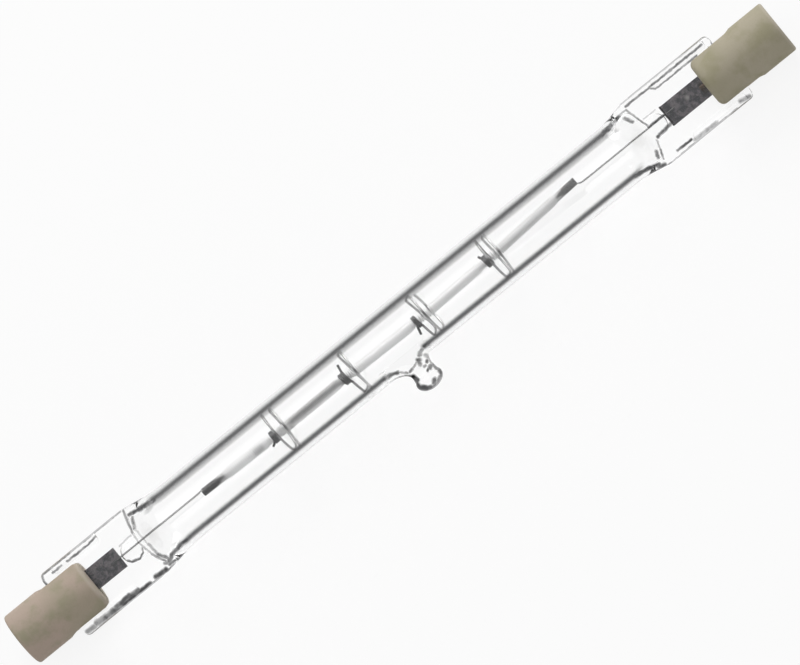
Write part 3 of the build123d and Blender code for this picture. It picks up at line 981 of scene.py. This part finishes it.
# Ceramic caps
capFinish = {  # main, warmer and olive colours, and where a painted highlight lies pale on a rounded end
    -1: (rgb(168, 156, 138), rgb(178, 161, 147), rgb(156, 149, 126), -47.65),
    1: (rgb(164, 157, 135), rgb(170, 162, 142), rgb(155, 149, 123), 58.75),
    "pale": rgb(205, 196, 184),
    "cloud": 0.16,  # to the millimetre
    "patch": 0.34,
    "grain": 6.5,
}


def ceramic(side):
    main, warm, olive, highlightPlace = capFinish[side]
    material, root = newMaterial("capCeramicLeft" if side < 0 else "capCeramicRight")
    place = lampPlace(root)
    cloud = noise(root, capFinish["cloud"], 2.0, place)
    patch = noise(root, capFinish["patch"], 3.0, root.vector("ADD", place, (31, 7, 3)))
    grain = noise(root, capFinish["grain"], 4.0, place)
    tone = cloud.step(0.4, 0.62).blend(main, warm)
    tone = (1 - patch.step(0.3, 0.56)).blend(tone, olive)
    # Painted highlight: a pale band across the cap at its rounded end
    pale = root.math("ABSOLUTE", place.parts()[0] - highlightPlace)
    tone = ((1 - pale.step(0.05, 0.45)) * 0.35).blend(tone, capFinish["pale"])
    speck = (grain.step(0.54, 0.8) * 0.3).blend(tone, tuple(c * 0.6 for c in olive[:3]) + (1,))
    surface(root, root.node("BsdfPrincipled", {
        "Base Color": speck, "Roughness": grain * 0.2 + 0.68, "Normal": bump(root, grain, 0.35, 0.00004),
    }))
    return material


cap = {
    "radius": 3.55,
    "length": 11.3,
    "rim": 0.3,
    "mouth": 0.8,
    "slotHalf": 1.3,
    "slotStraight": 5.1,
    "recess": 1.95,
    "recessDepth": 1.7,
    "recessRim": 0.15,
    "buttonDepth": 2.5,
    "buttonRoom": 1.73,
    "stemRoom": 0.75,
    "edge": 0.12,
    "around": 96,
}


def choose(piece, mode, wanted):  # faces or edges with all points wanted
    pick(piece)
    bpy.ops.object.mode_set(mode="EDIT")
    bpy.ops.mesh.select_mode(type=mode)
    bpy.ops.mesh.select_all(action="DESELECT")
    mesh = bmesh.from_edit_mesh(piece.data)
    for part in (mesh.faces if mode == "FACE" else mesh.edges):
        if all(wanted(v.co) for v in part.verts):
            part.select_set(True)
    bmesh.update_edit_mesh(piece.data)


def sink(distance):
    bpy.ops.mesh.extrude_region_move(TRANSFORM_OT_translate={"value": (distance, 0, 0)})


def cutAway(body, tool):
    cut = body.modifiers.new("slot", "BOOLEAN")
    cut.object = tool
    cut.solver = "EXACT"
    pick(body)
    bpy.ops.object.modifier_apply(modifier=cut.name)
    bpy.data.objects.remove(tool)


def makeCap(side):
    start = side * (lamp["halfLength"] - cap["length"])
    end = side * lamp["halfLength"]
    bpy.ops.mesh.primitive_cylinder_add(vertices=cap["around"], radius=cap["radius"], depth=cap["length"],
                                        location=((start + end) / 2, 0, 0), rotation=(0, pi / 2, 0))
    body = bpy.context.object
    bpy.ops.object.transform_apply()
    choose(body, "FACE", lambda v: abs(v.x - end) < 1e-3)  # the recess, then room for button and stem
    bpy.ops.mesh.inset(thickness=cap["radius"] - cap["recess"])
    sink(-side * cap["recessDepth"])
    bpy.ops.mesh.inset(thickness=cap["recess"] - cap["buttonRoom"])
    sink(-side * (cap["buttonDepth"] - cap["recessDepth"]))
    bpy.ops.mesh.inset(thickness=cap["buttonRoom"] - cap["stemRoom"])
    sink(-side * (cap["length"] - cap["buttonDepth"] - cap["slotStraight"]))
    outer, recess = cap["radius"], cap["recess"]
    rims = [(start, outer, cap["mouth"], 8), (end, outer, cap["rim"], 5), (end, recess, cap["recessRim"], 3)]
    for place, radius, size, segments in rims:
        choose(body, "EDGE", lambda v: abs(v.x - place) < 1e-3 and abs(hypot(v.y, v.z) - radius) < 0.05)
        bpy.ops.mesh.bevel(offset=size, segments=segments, profile=0.5)
    bpy.ops.object.mode_set(mode="OBJECT")
    slotEnd = start + side * cap["slotStraight"]
    bpy.ops.mesh.primitive_cube_add(size=1, location=((slotEnd + start) / 2 - side, 0, 0))
    slot = bpy.context.object
    slot.scale = (cap["slotStraight"] + 2, 9, 2 * cap["slotHalf"])
    cutAway(body, slot)
    bpy.ops.mesh.primitive_cylinder_add(vertices=48, radius=cap["slotHalf"], depth=9,
                                        location=(slotEnd, 0, 0), rotation=(pi / 2, 0, 0))
    cutAway(body, bpy.context.object)
    edge = body.modifiers.new("edges", "BEVEL")
    edge.width = cap["edge"]
    edge.segments = 3
    edge.limit_method = "ANGLE"
    edge.angle_limit = radians(50)
    pick(body)
    bpy.ops.object.modifier_apply(modifier=edge.name)
    word = "left" if side < 0 else "right"
    finish = [ceramic(side)]
    settle(body, f"ceramicCap{word.title()}", f"ceramic_cap_{word}", finish, 40)


for side in (-1, 1):
    makeCap(side)
print("caps pressed")

# CAD nodes that keep their shape
foilLook = {
    "dark": rgb(50, 50, 55),
    "pale": rgb(94, 90, 93),
    "fleck": rgb(42, 39, 39),
    "weld": rgb(46, 38, 32),
    "weldPlace": 47.15,
    # a painted highlight on the foil, and where it lies
    "glint": rgb(150, 146, 144),
    "glintPlace": (44.9, 0.25, 0),
}


def foilFinish():
    material, root = newMaterial("molybdenumFoil")
    place = lampPlace(root)
    x, y = place.parts()[:2]
    blotch = noise(root, 1.1, 5.0, place)
    fleck = noise(root, 3.2, 3.0, place)
    tone = blotch.step(0.42, 0.58).blend(foilLook["dark"], foilLook["pale"])
    tone = (fleck.step(0.52, 0.64) * 0.6).blend(tone, foilLook["fleck"])
    weld = 1 - root.math("ABSOLUTE", x - foilLook["weldPlace"]).step(0.1, 0.5)
    weld = weld * (1 - root.math("ABSOLUTE", y).step(0.5, 1.1))
    tone = (weld * 0.85).blend(tone, foilLook["weld"])
    # Painted highlight: a pale glint on the foil
    glint = root.vector("LENGTH", root.vector("SUBTRACT", place, foilLook["glintPlace"]), out=1)
    tone = ((1 - glint.step(0.1, 0.5)) * 0.5).blend(tone, foilLook["glint"])
    surface(root, root.node("BsdfPrincipled", {
        "Base Color": tone, "Metallic": 0.35, "Roughness": fleck * 0.3 + 0.45,
        "Normal": bump(root, blotch, 0.4, 0.00008),
    }))
    return material


def cementFinish():
    material, root = newMaterial("cementChalk")
    lump = noise(root, 2200, 6.0)
    surface(root, root.node("BsdfPrincipled", {
        "Base Color": lump.step(0.3, 0.7).blend(rgb(176, 166, 150), rgb(206, 198, 184)), "Roughness": 0.9,
        "Normal": bump(root, lump, 0.6, 0.0001),
    }))
    return material


finishes = {
    "foil": foilFinish(), "outer_lead": leadMetal, "cement": cementFinish(), "contact": nickel,
    "filament_end_pin": darkTungsten,
}
for node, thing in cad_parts.items():
    for start, finish in finishes.items():
        if node.startswith(start + "_"):
            thing.data.materials.clear()
            thing.data.materials.append(finish)
print("metal and cement finished")


# Table, light and camera
studio = {
    "floorHeight": -lamp["tubeRadius"] * lamp["unit"],
    "floorSize": 4.0,
    "floorGlow": 0.88,
    "floorColour": (0.86, 0.86, 0.86, 1),
    "skyLight": 0.45,
    "key": {"place": (0.25, 0.6, 0.42), "size": 0.35, "power": 3.2},
    "fill": {"place": (-0.2, 0.1, 0.8), "size": 0.6, "power": 1.1},
}


def seenDirectly(root):  # by the camera or by way of glass or metal
    seen = root.node("LightPath", out="Is Camera Ray")
    for kind in ("Is Glossy Ray", "Is Transmission Ray"):
        seen = seen.math("MAXIMUM", seen, root.node("LightPath", out=kind))
    return seen


def makeFloor():
    bpy.ops.mesh.primitive_plane_add(size=studio["floorSize"], location=(0, 0, studio["floorHeight"]))
    floor = bpy.context.object
    floor.name = "table"
    bpy.ops.object.transform_apply()
    material, root = newMaterial("tablePaper")
    matt = root.node("BsdfDiffuse", {"Color": studio["floorColour"]})
    glow = root.node("Emission", {"Color": (1, 1, 1, 1), "Strength": 1.0})
    share = seenDirectly(root) * studio["floorGlow"]
    surface(root, root.node("MixShader", {0: share, 1: matt, 2: glow}))
    floor.data.materials.append(material)


def makeLight(name, row):
    bpy.ops.object.light_add(type="AREA", location=row["place"])
    light = bpy.context.object
    light.name = name
    light.data.size = row["size"]
    light.data.energy = row["power"]
    light.rotation_euler = (-Vector(row["place"])).to_track_quat("-Z", "Y").to_euler()


def makeSky():
    world = bpy.data.worlds.new("studioSky")
    bpy.context.scene.world = world
    world.use_nodes = True
    world.node_tree.nodes.clear()
    root = Socket(world.node_tree)
    soft = root.node("Background", {"Color": (1, 1, 1, 1), "Strength": studio["skyLight"]})
    white = root.node("Background", {"Color": (1, 1, 1, 1), "Strength": 1.0})
    mixed = root.node("MixShader", {0: seenDirectly(root), 1: soft, 2: white})
    root.node("OutputWorld", {"Surface": mixed})


makeFloor()
makeLight("keyLight", studio["key"])
makeLight("fillLight", studio["fill"])
makeSky()

view = {
    "eye": (58.8, 0.0, 900.0),  # in the lamp's millimetres, facing its middle
    "tilt": 39.15,  # how far the tube climbs in the picture, degrees
    "lens": 337.0,
    "shift": (0.0017, 0.0023),
}


def makeCamera():
    roll = Matrix.Rotation(restingRoll, 3, "X")
    eye = roll @ Vector(view["eye"]) * lamp["unit"]
    tilt = radians(view["tilt"])
    up = roll @ Vector((sin(tilt), cos(tilt), 0))
    back = eye.normalized()
    right = up.cross(back).normalized()
    up = back.cross(right)
    bpy.ops.object.camera_add(location=eye)
    camera = bpy.context.object
    camera.name = "photoCamera"
    camera.rotation_euler = Matrix((right, up, back)).transposed().to_euler()
    camera.data.lens = view["lens"]
    camera.data.shift_x, camera.data.shift_y = view["shift"]
    camera.data.clip_start = 0.05
    bpy.context.scene.camera = camera


makeCamera()
bpy.context.scene.view_settings.view_transform = "Standard"
print("studio set")
